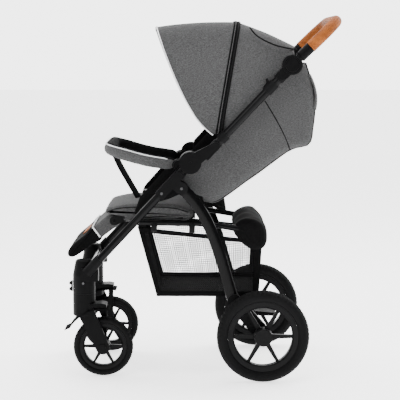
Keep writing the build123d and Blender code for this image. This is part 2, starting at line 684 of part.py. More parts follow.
# ---- export ----
def main():
    nodes = {
        "seat_rail": seat_rail(),
        "front_crossbar": front_crossbar(),
        "seat_board": seat_board(),
        "seat_cushion": seat_cushion(),
        "basket": basket(),
        "basket_pouch": pouch(),
        "frame_bolts": frame_bolts(),
        "front_housings": both(front_housing),
        "hinge_housings": both(hinge_housing),
        "harness_buckle": buckle(),
        "buckle_button": buckle_button(),
        "waist_straps": waist_straps(),
        "rear_axle_beam": axle_beam(),
        "rear_axle_pins": both(rear_axle_pin),
        "brake_pedal": brake_pedal(),
        "hinge_knuckles": both(hinge_knuckle),
        "handle_knuckles": both(handle_knuckle),
        "canopy_clips": both(canopy_clip),
        "canopy_hubs": both(canopy_hub),
        "canopy_mid_bow": bow(MID_ANGLE, MID_REACH, MID_BOW_OUT),
        "canopy_front_bow": bow(FRONT_ANGLE, FRONT_REACH, FRONT_BOW_OUT),
        "canopy_front_fabric": canopy_front(),
        "canopy_rear_fabric": canopy_rear(),
        "handle_bar": handle_bar(),
        "handle_grip": handle_grip(),
        "backrest_board": backrest_board(),
        "backrest_cushion": backrest_cushion(),
        "back_cover": back_cover(),
        "shoulder_straps": shoulder_straps(),
        "bumper_bar": bumper_bar(),
        "crotch_strap": crotch_strap(),
        "leg_rest": leg_rest(),
    }
    legs, brackets = [], []
    for name, side in SIDES.items():
        leg = rear_leg(side)
        legs += leg.solids() + leg_pin(side).solids()
        brackets.append(rear_bracket(side, leg))
        body, bolt = fork(side)
        nodes[f"front_fork_{name}"] = Compound(children=[body.solids()[0], bolt.solids()[0]])
        nodes[f"fender_{name}"] = fender(side, body)
        for part, shape in zip(("tyre", "rim"), front_wheel(side)):
            nodes[f"front_{part}_{name}"] = shape
        for part, shape in zip(("tyre", "rim", "hub_fittings"), rear_wheel(side)):
            nodes[f"rear_{part}_{name}"] = shape
        for part, make in (
            ("lower_tube", lower_tube), ("upper_tube", upper_tube), ("swivel_lock", swivel_lock),
            ("handle_button", handle_button), ("fold_slider", fold_slider), ("brake_pin", brake_pin),
        ):
            nodes[f"{part}_{name}"] = make(side)
    nodes["rear_legs"] = Compound(children=legs)
    nodes["rear_brackets"] = Compound(children=brackets)
    os.makedirs("parts", exist_ok=True)
    for name, shape in nodes.items():
        export_step(Pos(REAR_AXLE_X, 0, 0) * shape, f"parts/{name}.step")


if __name__ == "__main__":
    main()
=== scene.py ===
"""The looks of the pushchair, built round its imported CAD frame."""
import json
import math

import bpy
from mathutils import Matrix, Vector, noise


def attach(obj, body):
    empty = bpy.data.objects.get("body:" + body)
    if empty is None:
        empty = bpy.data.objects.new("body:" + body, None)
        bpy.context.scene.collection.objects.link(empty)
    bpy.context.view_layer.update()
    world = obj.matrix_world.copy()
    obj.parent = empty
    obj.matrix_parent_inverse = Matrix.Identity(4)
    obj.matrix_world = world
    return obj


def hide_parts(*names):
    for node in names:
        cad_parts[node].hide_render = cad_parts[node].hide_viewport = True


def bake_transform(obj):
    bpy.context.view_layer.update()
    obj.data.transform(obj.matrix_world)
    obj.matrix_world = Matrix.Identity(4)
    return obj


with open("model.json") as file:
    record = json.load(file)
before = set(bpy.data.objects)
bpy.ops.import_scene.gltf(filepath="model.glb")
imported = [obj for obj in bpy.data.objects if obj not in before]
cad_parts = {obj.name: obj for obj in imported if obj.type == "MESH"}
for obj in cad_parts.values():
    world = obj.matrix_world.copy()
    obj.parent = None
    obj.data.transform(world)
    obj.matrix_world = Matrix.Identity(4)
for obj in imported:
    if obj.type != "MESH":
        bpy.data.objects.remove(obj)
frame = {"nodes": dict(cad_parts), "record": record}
noise.seed_set(7)  # without a seed the noise is a different one on every run
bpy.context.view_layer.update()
NODES = frame["nodes"]
AXLE_X = 183.5  # where the rear axle lies along X, in millimetres
SIDES = {"left": -1, "right": 1}

# ---- the frame's measures, in millimetres from the rear axle and the floor ----
FOLD_PIVOT = (-220.0, 662.0)
HANDLE_PIVOT = (86.0, 955.0)
CANOPY_PIVOT = (-140.0, 757.0)
LEGREST_PIVOT = (-453.0, 479.0)
BACK_FOOT, BACK_ANGLE = (-130.0, 540.0), 35.3
UPPER_ANGLE, LOWER_ANGLE, LEGREST_ANGLE = 46.5, 47.0, 217.0


def polar(origin, angle, along, up=0.0):
    c, s = math.cos(math.radians(angle)), math.sin(math.radians(angle))
    return (origin[0] + along * c - up * s, origin[1] + along * s + up * c)


def upper(along, up=0.0):
    return polar(HANDLE_PIVOT, UPPER_ANGLE, -along, up)


def back(along, up):
    return polar(BACK_FOOT, BACK_ANGLE, along, up)


def m(x, y, z):
    """A place in millimetres from the rear axle, as metres in the row frame."""
    return Vector(((x + AXLE_X) / 1000, y / 1000, z / 1000))


def at(p, y):
    """A side-view point as a place in space."""
    return (p[0], y, p[1])


def lerp(a, b, t):
    return tuple(p + (q - p) * t for p, q in zip(a, b))


def catmull_rom(a, b, c, d, t):
    square = (2 * a - 5 * b + 4 * c - d) * t * t
    cube = (3 * b - a - 3 * c + d) * t ** 3
    return 0.5 * (2 * b + (c - a) * t + square + cube)


def smooth_path(points, steps, closed=False):
    """A smooth curve through the points, in steps to each span."""
    n = len(points)
    spans = n if closed else n - 1
    out = []
    for i in range(spans):
        if closed:
            p = [points[(i + k - 1) % n] for k in range(4)]
        else:
            p = [points[min(max(i + k - 1, 0), n - 1)] for k in range(4)]
        for k in range(steps):
            out.append(tuple(catmull_rom(*values, k / steps) for values in zip(*p)))
    if not closed:
        out.append(tuple(points[-1]))
    return out


def along_path(points, t):
    """The point a share t of the way along a polyline."""
    lengths = [math.dist(a, b) for a, b in zip(points, points[1:])]
    left = t * sum(lengths)
    for a, b, length in zip(points, points[1:], lengths):
        if left <= length:
            return lerp(a, b, left / length if length else 0)
        left -= length
    return tuple(points[-1])


# ---- materials ----
YARN_SPREAD = 0.16  # how far apart on the noise the dark and the light yarn lie
SHADE_CHANGE, GLOSS_CHANGE = 0.25, 0.15  # from handling, as shares


def new_material(name):
    mat = bpy.data.materials.new(name)
    mat.use_nodes = True
    return mat, mat.node_tree.nodes, mat.node_tree.links, mat.node_tree.nodes["Principled BSDF"]


def ramp(nodes, stops):
    r = nodes.new("ShaderNodeValToRGB")
    while len(r.color_ramp.elements) < len(stops):
        r.color_ramp.elements.new(0.5)
    for e, (pos, value) in zip(r.color_ramp.elements, stops):
        e.position = pos
        e.color = (*value, 1) if hasattr(value, "__len__") else (value, value, value, 1)
    return r


def coords(nodes, links, scale):
    c = nodes.new("ShaderNodeTexCoord")
    mp = nodes.new("ShaderNodeMapping")
    mp.inputs["Scale"].default_value = scale
    links.new(c.outputs["Object"], mp.inputs["Vector"])
    return mp.outputs["Vector"]


def noise_node(nodes, links, vector, scale, detail=3.0, rough=0.6):
    n = nodes.new("ShaderNodeTexNoise")
    n.inputs["Scale"].default_value = scale
    n.inputs["Detail"].default_value = detail
    n.inputs["Roughness"].default_value = rough
    links.new(vector, n.inputs["Vector"])
    return n


def add_bump(nodes, links, bsdf, height, strength, distance):
    b = nodes.new("ShaderNodeBump")
    b.inputs["Strength"].default_value = strength
    b.inputs["Distance"].default_value = distance
    links.new(height, b.inputs["Height"])
    links.new(b.outputs["Normal"], bsdf.inputs["Normal"])
    return b


def mix_values(nodes, links, a, b, factor):
    mx = nodes.new("ShaderNodeMix")
    mx.data_type = "FLOAT"
    mx.inputs["Factor"].default_value = factor
    links.new(a, mx.inputs["A"])
    links.new(b, mx.inputs["B"])
    return mx.outputs["Result"]


def cloth(name, dark, light, streak=1.0, sheen=0.08):
    """A plain weave: flecks of two yarn shades, drawn out along the weft, over an over-and-under relief."""
    mat, nodes, links, bsdf = new_material(name)
    flecks = noise_node(nodes, links, coords(nodes, links, (190, 190, 520 * streak)), 1.0, 5.0, 0.8)
    fine = noise_node(nodes, links, coords(nodes, links, (420, 420, 900)), 1.0, 2.0, 0.7)
    shade = mix_values(nodes, links, flecks.outputs["Fac"], fine.outputs["Fac"], 0.35)
    middle = lerp(dark, light, 0.42)
    colour = ramp(nodes, [(0.5 - YARN_SPREAD, dark), (0.5, middle), (0.5 + YARN_SPREAD, light)])
    links.new(shade, colour.inputs["Fac"])
    links.new(colour.outputs["Color"], bsdf.inputs["Base Color"])
    bsdf.inputs["Roughness"].default_value = 0.92
    bsdf.inputs["Sheen Weight"].default_value = sheen
    bsdf.inputs["Sheen Roughness"].default_value = 0.5
    bsdf.inputs["IOR"].default_value = 1.1
    yarns = []
    for direction in "XZ":
        wave = nodes.new("ShaderNodeTexWave")
        wave.inputs["Scale"].default_value = 1.0
        wave.bands_direction = direction
        links.new(coords(nodes, links, (260, 260, 260)), wave.inputs["Vector"])
        yarns.append(wave.outputs["Fac"])
    weave = mix_values(nodes, links, *yarns, 0.5)
    relief = mix_values(nodes, links, weave, shade, 0.5)
    add_bump(nodes, links, bsdf, relief, 0.5, 0.0008)
    return mat


def hard(name, base, rough, grain_scale, grain_depth, shine=0.3, metallic=0.0):
    """Plastic or paint: a fine grain, and a slow change of gloss and shade from handling."""
    mat, nodes, links, bsdf = new_material(name)
    grain = noise_node(nodes, links, coords(nodes, links, (1, 1, 1)), grain_scale, 3.0)
    slow = noise_node(nodes, links, coords(nodes, links, (1, 1, 1)), 14.0, 4.0)
    low, high = (tuple(c * (1 + change) for c in base) for change in (-SHADE_CHANGE, SHADE_CHANGE))
    tone = ramp(nodes, [(0.3, low), (0.7, high)])
    links.new(slow.outputs["Fac"], tone.inputs["Fac"])
    gloss = ramp(nodes, [
        (0.3, rough * (1 - GLOSS_CHANGE)), (0.75, min(rough * (1 + GLOSS_CHANGE), 1.0)),
    ])
    links.new(slow.outputs["Fac"], gloss.inputs["Fac"])
    links.new(gloss.outputs["Color"], bsdf.inputs["Roughness"])
    edge = nodes.new("ShaderNodeNewGeometry")
    wear = ramp(nodes, [(0.56, 0.0), (0.7, 0.2)])
    links.new(edge.outputs["Pointiness"], wear.inputs["Fac"])
    worn = nodes.new("ShaderNodeMix")
    worn.data_type = "RGBA"
    worn.inputs["B"].default_value = (*[min(c * 2.5 + 0.01, 1) for c in base], 1)
    links.new(wear.outputs["Color"], worn.inputs["Factor"])
    links.new(tone.outputs["Color"], worn.inputs["A"])
    links.new(worn.outputs["Result"], bsdf.inputs["Base Color"])
    bsdf.inputs["Metallic"].default_value = metallic
    bsdf.inputs["IOR"].default_value = 1 + shine
    add_bump(nodes, links, bsdf, grain.outputs["Fac"], 0.35, grain_depth)
    return mat


def leather(name):
    """Grained leather in three browns."""
    mat, nodes, links, bsdf = new_material(name)
    vec = coords(nodes, links, (1, 1, 1))
    slow = noise_node(nodes, links, coords(nodes, links, (16, 60, 60)), 1.0, 6.0, 0.7)
    tone = ramp(nodes, [
        (0.3, (0.10, 0.026, 0.005)), (0.5, (0.20, 0.055, 0.010)), (0.72, (0.31, 0.095, 0.019)),
    ])
    links.new(slow.outputs["Fac"], tone.inputs["Fac"])
    links.new(tone.outputs["Color"], bsdf.inputs["Base Color"])
    cells = nodes.new("ShaderNodeTexVoronoi")
    cells.inputs["Scale"].default_value = 520.0
    links.new(vec, cells.inputs["Vector"])
    gloss = ramp(nodes, [(0.3, 0.6), (0.7, 0.75)])
    bsdf.inputs["IOR"].default_value = 1.22
    links.new(slow.outputs["Fac"], gloss.inputs["Fac"])
    links.new(gloss.outputs["Color"], bsdf.inputs["Roughness"])
    add_bump(nodes, links, bsdf, cells.outputs["Distance"], 0.4, 0.0006)
    return mat


GREY = cloth("cloth_grey", (0.018, 0.018, 0.0182), (0.098, 0.098, 0.099))
BLACK = cloth("cloth_black", (0.0012, 0.0012, 0.0013), (0.006, 0.006, 0.0062), sheen=0.01)
WEB = cloth("webbing_black", (0.002, 0.002, 0.0022), (0.01, 0.01, 0.0105), streak=3.0, sheen=0.04)
WHITE = cloth("piping_white", (0.62, 0.63, 0.64), (0.85, 0.85, 0.85), sheen=0.1)
NET = hard("net_black", (0.01, 0.01, 0.0105), 0.8, 900.0, 0.0001, shine=0.15)
PAINT = hard("frame_black", (0.0025, 0.0025, 0.0027), 0.17, 1500.0, 0.00003, shine=0.16)
PLASTIC = hard("plastic_black", (0.003, 0.003, 0.0032), 0.5, 1100.0, 0.00008, shine=0.12)
WHEEL = hard("wheel_black", (0.003, 0.003, 0.0032), 0.42, 900.0, 0.00008, shine=0.16)
TYRE = hard("tyre_black", (0.0045, 0.0045, 0.0047), 0.8, 700.0, 0.0002, shine=0.15)
STEEL = hard("steel", (0.05, 0.05, 0.052), 0.35, 1800.0, 0.00005, metallic=1.0)
BOARD = hard("board_black", (0.003, 0.003, 0.0032), 0.6, 700.0, 0.0001, shine=0.15)
RUBBER = hard("rubber_black", (0.003, 0.003, 0.0032), 0.95, 700.0, 0.0002, shine=0.05)
RED = hard("button_red", (0.4, 0.02, 0.015), 0.4, 700.0, 0.0001)
LEATHER = leather("leather_brown")
PATCH = leather("patch_brown")
SLOT_LOOKS = {
    "frame_black": PAINT, "plastic_black": PLASTIC, "rib_plastic": PLASTIC, "board_black": BOARD,
    "wheel_black": WHEEL, "tyre_black": TYRE, "steel": STEEL, "button_red": RED, "leather_brown": LEATHER,
    "cloth_grey": GREY, "cloth_black": BLACK, "mesh_black": NET,
}
for sub in frame["record"]["subparts"]:
    look = RUBBER if sub["node"].startswith("fender") else SLOT_LOOKS[sub["material_slot"]]
    node = NODES[sub["node"]]
    node.data.materials.clear()
    node.data.materials.append(look)


# ---- mesh building ----
def piece(name, verts, faces, materials, body=None, replaces=(), which=None, flat=False):
    """A mesh object from points in millimetres, with one material or several that which(face) picks from."""
    mesh = bpy.data.meshes.new(name)
    mesh.from_pydata([m(*v) for v in verts], [], faces)
    mesh.update()
    obj = bpy.data.objects.new(name, mesh)
    bpy.context.scene.collection.objects.link(obj)
    for mat in materials if isinstance(materials, (list, tuple)) else [materials]:
        mesh.materials.append(mat)
    if which:
        for poly in mesh.polygons:
            poly.material_index = which(poly)
    if not flat:
        for poly in mesh.polygons:
            poly.use_smooth = True
    if body:
        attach(obj, body)
    if replaces:
        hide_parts(*replaces)
    return obj


def grid_faces(rows, cols, close_rows=False, close_cols=False):
    faces = []
    for i in range(rows if close_rows else rows - 1):
        for k in range(cols if close_cols else cols - 1):
            row, row_next = i * cols, ((i + 1) % rows) * cols
            k_next = (k + 1) % cols
            faces.append((row + k, row + k_next, row_next + k_next, row_next + k))
    return faces


def end_caps(rows, cols):
    """The two faces that close the ends of a ring grid."""
    return [tuple(reversed(range(cols))), tuple(range((rows - 1) * cols, rows * cols))]


def ruffle(p, amount, size=70.0):
    """Moves a point by a slow noise, for cloth that isn't perfectly smooth."""
    v = noise.noise_vector(Vector(p) / size)
    return (p[0] + v[0] * amount, p[1] + v[1] * amount, p[2] + v[2] * amount)


def solidify(obj, thickness, offset=0.0):
    mod = obj.modifiers.new("thickness", "SOLIDIFY")
    mod.thickness = thickness / 1000
    mod.offset = offset


def tube(name, points, radius, material, body=None, sides=8):
    """A round cord or piping along a path, closed at both ends."""
    n = len(points)
    verts = []
    previous = None
    for i, p in enumerate(points):
        t = (Vector(points[min(i + 1, n - 1)]) - Vector(points[max(i - 1, 0)])).normalized()
        if previous is None:
            previous = Vector((0, 1, 0)) if abs(t.y) < 0.9 else Vector((0, 0, 1))
        u = (previous - t * previous.dot(t)).normalized()
        previous = u
        w = t.cross(u)
        for k in range(sides):
            turn = 2 * math.pi * k / sides
            verts.append(tuple(Vector(p) + u * math.cos(turn) * radius + w * math.sin(turn) * radius))
    faces = grid_faces(n, sides, close_cols=True) + end_caps(n, sides)
    return piece(name, verts, faces, material, body)


def inset_profile(profile, distance):
    """A closed side profile moved inwards by a distance."""
    n = len(profile)
    area = sum(a[0] * b[1] - b[0] * a[1] for a, b in zip(profile, profile[1:] + profile[:1]))
    sign = 1 if area > 0 else -1
    out = []
    for i, p in enumerate(profile):
        a, b = profile[i - 1], profile[(i + 1) % n]
        dx, dz = b[0] - a[0], b[1] - a[1]
        length = math.hypot(dx, dz) or 1.0
        out.append((p[0] - sign * dz / length * distance, p[1] + sign * dx / length * distance))
    return out


def pad(name, profile, half, material, body, replaces=(), soft=12.0, crown=0.0, wrinkle=0.8,
        stations=28):
    """A stuffed piece: a closed side profile carried across Y, rounded off at both ends and crowned."""
    outline = smooth_path(profile, 6, closed=True)
    n = len(outline)
    middle_z = sum(p[1] for p in outline) / n
    rows = []
    ends = [math.sin(math.pi / 2 * k / 5) for k in range(6)]
    ys = [(-half + soft * (1 - math.cos(math.asin(e))), 1 - e) for e in ends]
    inner = [(-half + soft + (2 * half - 2 * soft) * k / stations, 0.0) for k in range(1, stations)]
    right = [(-y, d) for y, d in reversed(ys)]
    for y, depth in ys + inner + right:
        ring = inset_profile(outline, soft * depth * 0.9)
        lift = crown * max(0.0, 1 - (y / half) ** 2)
        row = []
        for x, z in ring:
            up = lift if z > middle_z else 0.0
            row.append(ruffle((x, y, z + up), wrinkle))
        rows.append(row)
    verts = [p for row in rows for p in row]
    faces = grid_faces(len(rows), n, close_cols=True) + end_caps(len(rows), n)
    obj = piece(name, verts, faces, material, body, replaces)


def sheet(name, rows, material, thickness=1.6, body=None, replaces=(),
          blend=None):
    """A sheet of cloth from rows of points, given a thickness."""
    verts = [p for row in rows for p in row]
    obj = piece(name, verts, grid_faces(len(rows), len(rows[0])), material, None, replaces)
    if blend:
        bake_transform(obj)
    else:
        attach(obj, body)
    solidify(obj, thickness)


# ---- canopy ----
HALF, CORNER, ROOT = 197.0, 72.0, -6.0
REAR_REACH, MID_REACH, FRONT_REACH, MEAN_REACH = 347.0, 331.5, 362.0, 340
REAR_TOP, MID_TOP, FRONT_TOP = m(32, 0, 938), m(-92, 0, 1002), m(-269, 0, 971)
REAR_BLEND = ("upper_frame", "canopy_mid", REAR_TOP, MID_TOP)
FRONT_BLEND = ("canopy_mid", "canopy_front", MID_TOP, FRONT_TOP)


def ease(t):
    """Nought to one, slow at both ends."""
    t = min(1.0, max(0.0, t))
    return t * t * (3 - 2 * t)


def arch(angle, reach, bulge=0.0, drop=0.0):
    """A U across the canopy at one angle: up over the left pivot stud, across the top and down the right."""
    line = []
    for k in range(25):
        r = ROOT + (reach - CORNER - ROOT) * (k / 24) ** 1.5
        line.append((-HALF - 7.5 * ease(1 - (r - 13) / 34), r))
    for k in range(1, 9):
        a = math.pi / 2 * k / 8
        line.append((-HALF + CORNER * (1 - math.cos(a)), reach - CORNER + CORNER * math.sin(a)))
    for k in range(1, 10):
        line.append((-(HALF - CORNER) * (1 - k / 10), reach))
    line += [(0.0, reach)] + [(-y, r) for y, r in reversed(line)]
    out = []
    for y, r in line:
        rise = 1 - (1 - min((r + 36) / 120, 1.0)) ** 2
        swell = bulge * max(0.0, rise) * (1 - max(0.0, (r - 110) / (reach - 110)) ** 1.6)
        x, z = polar(CANOPY_PIVOT, angle, r)
        if abs(y) > HALF - CORNER / 2:
            swell -= drop * min(1.0, (abs(y) - HALF + CORNER / 2) / 20)
            y = math.copysign(min(abs(y), HALF), y) if drop else y
        px, pz = polar((0, 0), angle + 90, swell)
        out.append((x + px, y, z + pz))
    return out


def between(a, b, t, crown, sag):
    """A line of points a share t from one arch to the next: the top swells a little, the sides draw in."""
    out = []
    for p, q in zip(a, b):
        x, y, z = lerp(p, q, t)
        hump = 4 * t * (1 - t)
        top = max(0.0, 1 - (abs(y) / HALF) ** 4)
        nx, nz = (x - CANOPY_PIVOT[0]) / MEAN_REACH, (z - CANOPY_PIVOT[1]) / MEAN_REACH
        reach = math.hypot(x - CANOPY_PIVOT[0], z - CANOPY_PIVOT[1]) / MEAN_REACH
        inwards = sag * hump * (1 - top) * min(reach, 1)
        out.append((x + nx * crown * hump * top, y - math.copysign(inwards, y), z + nz * crown * hump * top))
    return out


FRONT_HEM = arch(121.0, FRONT_REACH, bulge=36.0)
MID_LINE = arch(79.0, MID_REACH)
REAR_LINE = arch(46.4, REAR_REACH, drop=20.0)
rows = [[ruffle(p, 1.0) for p in between(MID_LINE, FRONT_HEM, k / 26, 7, 5)] for k in range(27)]
sheet(
    "canopy_front_cloth", rows, GREY,
    replaces=["canopy_front_fabric"], blend=FRONT_BLEND,
)
rows = [[ruffle(p, 1.0) for p in between(REAR_LINE, MID_LINE, k / 20, 5, 5)] for k in range(21)]
sheet(
    "canopy_rear_cloth", rows, GREY,
    replaces=["canopy_rear_fabric"], blend=REAR_BLEND,
)


def lifted(line, amount):
    """The same line a little further from the middle of the canopy."""
    out = []
    for x, y, z in line:
        nx, nz = x - CANOPY_PIVOT[0], z - CANOPY_PIVOT[1]
        length = math.hypot(nx, nz) or 1.0
        top = 1.0 if abs(y) < HALF - CORNER else 0.4
        sideways = math.copysign(1, y) * min(abs(y) / 90, 1) * amount
        out.append((x + nx / length * amount * top, y + sideways, z + nz / length * amount * top))
    return out


FORWARDS = 169  # square to the middle rib, in the side view


def beside_rib(offset, out):
    """The middle rib's line moved forwards by an offset, and out from the cloth."""
    line = []
    for x, y, z in MID_LINE:
        r = math.hypot(x - CANOPY_PIVOT[0], z - CANOPY_PIVOT[1])
        px, pz = polar((0, 0), FORWARDS, offset - 8 * max(0.0, 1 - r / 331))
        line.append((x + px, y, z + pz))
    return lifted(line, out)


rows = [beside_rib(d, 3.0 - abs(d) * 0.08) for d in (-10, -5, 0, 5, 10)]
sheet(
    "canopy_zip_band", rows, BLACK,
    thickness=1.2, body="canopy_mid",
)
tube("canopy_zip", beside_rib(4, 3.8), 1.2, GREY, "canopy_mid")
tube("canopy_zip_cord", beside_rib(-5, 3.8), 1.6, WEB, "canopy_mid")
edge_line = lifted(between(FRONT_HEM, MID_LINE, 0.02, 7, 5), 2.2)
tube("canopy_front_piping", edge_line, 1.9, WHITE, "canopy_front")
hem = [lifted(between(FRONT_HEM, MID_LINE, t, 7, 5), -3.5 - 8 * t) for t in (0.015, 0.05, 0.1)]
sheet(
    "canopy_front_hem", hem, BLACK,
    thickness=1.2, body="canopy_front",
)
FLAP_EDGE = smooth_path([
    (-40, 1066), (-24, 1045), (-4, 1031), (20, 1019), (44, 1010), (76, 1003), (103, 1000),
], 5)


def on_shoulder(x, z, out):
    """How far from the middle plane a side-view point lies on the rear cloth's rounded shoulder."""
    r = math.hypot(x - CANOPY_PIVOT[0], z - CANOPY_PIVOT[1])
    angle = math.degrees(math.atan2(z - CANOPY_PIVOT[1], x - CANOPY_PIVOT[0]))
    reach = MID_REACH + (REAR_REACH - MID_REACH) * (79 - angle) / 32.6
    climb = math.asin(min(1.0, max(0.0, (r - reach + CORNER) / CORNER)))
    return HALF - CORNER * (1 - math.cos(climb)) + out


for side in SIDES.values():
    line = [(x, side * on_shoulder(x, z, 1.5), z + 1) for x, z in FLAP_EDGE]
    edge = tube(f"canopy_flap_edge_{side + 1}", line, 2.2, BLACK)
    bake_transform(edge)

# ---- back cover ----
BACK_BLEND = ("upper_frame", "backrest", m(-60, 0, 800), m(20, 0, 716))
STATIONS, RUFFLE, SIDE_CORNER = 46, 1.6, 34.0
REAR_PATH = smooth_path([
    (-249, 602), (-240, 570), (-206, 547), (-166, 536), (-130, 540), (-22, 616), (85, 692), (143, 711),
    (156, 762), (162, 812), (160, 856), (149, 908), (133, 960),
], 6)
TUBE_LINE = smooth_path([(-231.0, 628.0), upper(372, 2), upper(300, 13), upper(150, 15), upper(34, 15)], 6)


def gusset_half(x):
    """Half the cover's width: it stands over the recline arms at the front and draws in behind them."""
    return 189.5 - 11 * ease((x + 110) / 130)


rows = []
for i in range(STATIONS):
    t = i / (STATIONS - 1)
    rear = along_path(REAR_PATH, t)
    front = along_path(TUBE_LINE, min(1.0, max(0.0, (t - 0.06) / 0.9)))
    gap = math.dist(front, rear)
    c = min(SIDE_CORNER, gap * 0.5)
    dx, dz = (rear[0] - front[0]) / gap, (rear[1] - front[1]) / gap
    wide = gusset_half(rear[0])
    line = []
    for k in range(11):
        s = (gap - c) * k / 10
        sag = 1.5 * math.sin(math.pi * k / 10) * (1 - t)
        line.append((front[0] + dx * s, -wide + sag, front[1] + dz * s))
    for k in range(1, 7):
        a = math.pi / 2 * k / 6
        s = gap - c * (1 - math.sin(a))
        line.append((front[0] + dx * s, -wide + c * (1 - math.cos(a)), front[1] + dz * s))
    for k in range(1, 9):
        line.append((rear[0] + dx * 3 * math.sin(math.pi / 2 * k / 8), -(wide - c) * (1 - k / 8), rear[1]))
    line += [(x, -y, z) for x, y, z in reversed(line[:-1])]
    rows.append([ruffle(p, RUFFLE, 60.0) for p in line])
sheet(
    "back_cover_cloth", rows, GREY,
    replaces=["back_cover"], blend=BACK_BLEND,
)
for side in SIDES.values():
    line = [(x + 1.5, side * (abs(y) + 1.2), z) for x, y, z in (row[14] for row in rows[8:])]
    edge = tube(f"back_cover_seam_{side + 1}", line, 1.1, BLACK)
    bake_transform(edge)
flap = []
for k in range(9):
    t = 0.80 + 0.15 * k / 8
    i = t * (STATIONS - 1)
    a, b = rows[int(i)], rows[min(int(i) + 1, STATIONS - 1)]
    line = [lerp(p, q, i - int(i)) for p, q in zip(a, b)]
    flap.append([(x + 2 + 6 * math.sin(math.pi * k / 8), y, z) for x, y, z in line[13:-13]])
sheet(
    "back_flap", flap, GREY,
    blend=BACK_BLEND,
)
SEAM = smooth_path([(6, 846), (22, 820), (48, 776), (70, 732), (84, 694)], 5)
for side in SIDES.values():
    line = [(x, side * (gusset_half(60) + 0.6), z) for x, z in SEAM]
    edge = tube(f"back_cover_side_seam_{side + 1}", line, 1.5, BLACK)
    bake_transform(edge)

gather = []
for i in range(5):
    row = []
    x, z = lerp((-168, 540), (-112, 513), i / 4)
    for k in range(121):
        y = -168 + 336 * k / 120
        fold = 5.0 * math.sin(y * 0.34 + 1.3 * math.sin(y * 0.05)) * (0.4 + 0.15 * i)
        row.append((x + fold * 0.4, y, z - 4 + fold))
    gather.append(row)
sheet(
    "back_cover_gather", gather, BLACK,
    body="backrest",
)

# ---- seat ----
SEAT_HALF = 176
seat_profile = [
    (-424, 478), (-430, 490), (-452, 497), (-474, 500), (-480, 509), (-470, 518), (-446, 524), (-412, 529),
    (-370, 531), (-320, 531), (-270, 529), (-236, 521), (-212, 503), (-218, 486), (-250, 477), (-340, 474),
    (-400, 475),
]
pad("seat_pad", seat_profile, SEAT_HALF, GREY, "lower_frame", ["seat_cushion"],
    soft=14, crown=3, wrinkle=1.5)
for side in SIDES.values():
    seam = smooth_path([(-474, 506), (-452, 515), (-420, 520), (-340, 522), (-270, 518), (-226, 506)], 5)
    line = [(x, side * (SEAT_HALF + 0.2), z) for x, z in seam]
    tube(f"seat_seam_{side + 1}", line, 1.3, BLACK, "lower_frame")
back_profile = [back(a, u) for a, u in [
    (2, 19), (2, 40), (20, 46), (90, 43), (150, 46), (220, 43), (275, 47), (289, 38), (289, 20), (150, 18.5),
]]
pad("backrest_pad", back_profile, 149, GREY, "backrest", ["backrest_cushion"],
    soft=12, crown=2, wrinkle=1.5)
for side in SIDES.values():
    path = smooth_path([back(18, 48), back(90, 46), back(160, 48), back(252, 48)], 6)
    line = [(x, side * (30 + 10 * k / len(path)), z + 2.5) for k, (x, z) in enumerate(path)]
    rows = [[(x, y + w, z) for w in (-20, -7, 7, 20)] for x, y, z in line]
    obj = piece(
        f"shoulder_pad_{side + 1}", [p for row in rows for p in row], grid_faces(len(rows), 4), BLACK,
        "backrest", ["shoulder_straps"] if side > 0 else (),
    )
    solidify(obj, 5.0, 1.0)
    low, high = polar(FOLD_PIVOT, LOWER_ANGLE, -232, 6), polar(FOLD_PIVOT, LOWER_ANGLE, -6, 10)
    for part, start, end, body, flat in (
        ("upper", upper(412, 10), upper(298, 12), "upper_frame", (0.16, 0.05)),
        ("lower", low, high, "lower_frame", (0.235, 0.08)),
    ):
        strip = []
        for k in range(21):
            t = k / 20
            foot = lerp(start, end, t)
            width = 31 * min(1.0, (0.12 + t) * 3, (1.12 - t) * 3)
            under = 1.35 * math.sin(math.pi * max(0.0, (t - 0.3) / 0.9)) if part == "lower" else 0.0
            strip.append([
                (foot[0] - width * 0.72 * w, side * (181 - 5 * w * w), foot[1] + width * 0.69 * w)
                for w in (-0.5 - under, -0.3 - under / 2, -0.1, 0.2, 0.6, 1)
            ])
        sheet(
            f"seat_wing_{part}_{side + 1}", strip, BLACK,
            thickness=4.0, body=body,
        )

# ---- leg rest ----
def leg(along, up=0.0):
    return polar(LEGREST_PIVOT, LEGREST_ANGLE, along, -up)


leg_profile = [leg(a, u) for a, u in [
    (-18, 6), (-8, 19), (12, 24), (40, 23), (66, 21), (100, 17), (150, 15), (172, 9), (179, -2), (170, -12),
    (150, -16), (100, -18), (60, -19), (24, -19), (2, -19), (-16, -10),
]]
pad("leg_rest_pad", leg_profile, 157, GREY, "leg_rest", ["leg_rest"], soft=11, wrinkle=1.0)
sleeve = [leg(a, u) for a, u in [
    (66, 22.6), (100, 19), (150, 16.6), (173, 10), (181, -2), (172, -13.4), (150, -17.6), (100, -19.6),
    (66, -20.4),
]]
pad("leg_rest_foot", sleeve, 158.5, BLACK, "leg_rest", soft=11, wrinkle=0.6)
loop = [
    (-158.5, -15), (-158.8, 16), (-153, 23.5), (-80, 24.4), (0, 24.6), (80, 24.4), (153, 23.5), (158.8, 16),
    (158.5, -15),
]
ring = [at(leg(66, u), y) for y, u in smooth_path(loop, 5)]
tube("leg_rest_piping", ring, 2.6, WHITE, "leg_rest")
for side in SIDES.values():
    pin = [at(leg(0), side * y) for y in (150, 170)]
    tube(f"leg_rest_pin_{side + 1}", pin, 13.5, PLASTIC, "leg_rest", sides=24)
label = [at(leg(a, 20.6 - (a - 84) * 0.05), y) for a in (84, 95, 106, 116) for y in (-64, -22, 22, 64)]
patch = piece("leg_rest_patch", label, grid_faces(4, 4), PATCH, "leg_rest")
solidify(patch, 1.4)

